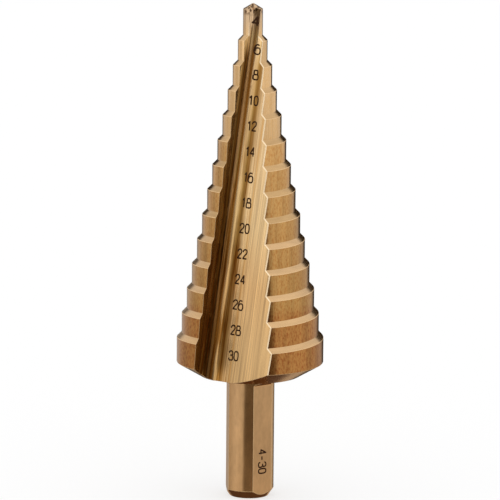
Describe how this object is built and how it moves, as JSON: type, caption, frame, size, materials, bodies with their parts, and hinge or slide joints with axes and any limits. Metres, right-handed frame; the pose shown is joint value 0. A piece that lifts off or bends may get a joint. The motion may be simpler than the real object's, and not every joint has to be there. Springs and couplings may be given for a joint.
{
  "type": "step drill",
  "caption": "Gold-coated step drill with a stepped conical body, slanting straight flutes, a split point and a round shank with driving flats.",
  "frame": {"origin": "centre of the shank's end face", "axes": "+Z along the drill's axis towards the tip; +X along the floors of the two flutes"},
  "size_m": [0.0292, 0.0296, 0.1002],
  "materials": {
    "coated_steel": "ground, with a gold-brown coating"
  },
  "bodies": {
    "root": {"step_drill": "coated_steel"}
  },
  "joints": []
}
